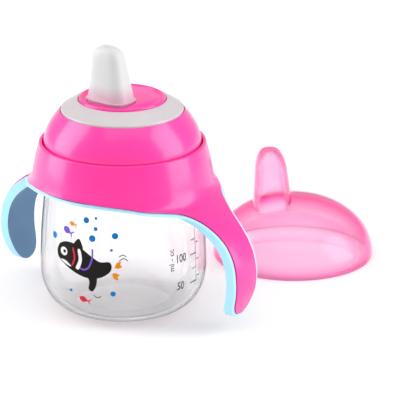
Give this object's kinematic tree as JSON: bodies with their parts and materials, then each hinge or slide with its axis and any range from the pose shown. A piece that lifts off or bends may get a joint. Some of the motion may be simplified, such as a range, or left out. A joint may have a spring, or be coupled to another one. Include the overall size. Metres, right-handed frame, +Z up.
{
  "type": "sippy cup",
  "caption": "Toddler's spill-resistant sippy cup with a clear rounded cup, a grip ring with two handles, a screw ring carrying a soft spout, and a domed cap beside it.",
  "frame": {"origin": "centre of the cup's flat base, on the table", "axes": "+Z up along the cup's axis; the handles lie along +X and -X; the spout leans towards -Y; the loose cap stands towards +Y"},
  "size_m": [0.132, 0.1715, 0.1201],
  "materials": {
    "clear_plastic": "clear moulded plastic with a gloss surface",
    "pink_handle": "glossy opaque hot pink",
    "blue_soft": "soft-touch light blue",
    "pink_ring": "glossy hot pink",
    "clear_soft": "translucent pale grey silicone",
    "seal_silicone": "matt white silicone",
    "spout_silicone": "translucent pale silicone",
    "valve_silicone": "matt white silicone",
    "pink_cap": "translucent pink with a gloss surface"
  },
  "bodies": {
    "cup": {"cup_body": "clear_plastic"},
    "seal": {"seal_ring": "seal_silicone"},
    "lid": {"screw_ring": "pink_ring", "lip_ring": "clear_soft", "spout": "spout_silicone", "spill_valve": "valve_silicone"},
    "handles": {"handle_ring": "pink_handle", "handle_liner": "blue_soft"},
    "cap": {"cap": "pink_cap"}
  },
  "joints": [
    {"name": "lid_rise", "type": "slide", "parent": "cup", "child": "seal", "axis": [0, 0, 1], "range_m": [0, 0.0076]},
    {"name": "ring_turn", "type": "hinge", "parent": "seal", "child": "lid", "pos_m": [0, 0, 0.07], "axis": [0, 0, 1], "range_deg": [0, 450]},
    {"name": "handles_turn", "type": "hinge", "parent": "cup", "child": "handles", "pos_m": [0, 0, 0.06], "axis": [0, 0, 1], "continuous": true},
    {"name": "cap_lift", "type": "slide", "parent": "cup", "child": "cap", "axis": [0, 0, 1], "range_m": [0, 0.05]}
  ],
  "couplings": [
    {"joint": "lid_rise", "follows": "ring_turn", "m_per_rad": 0.00095493}
  ]
}
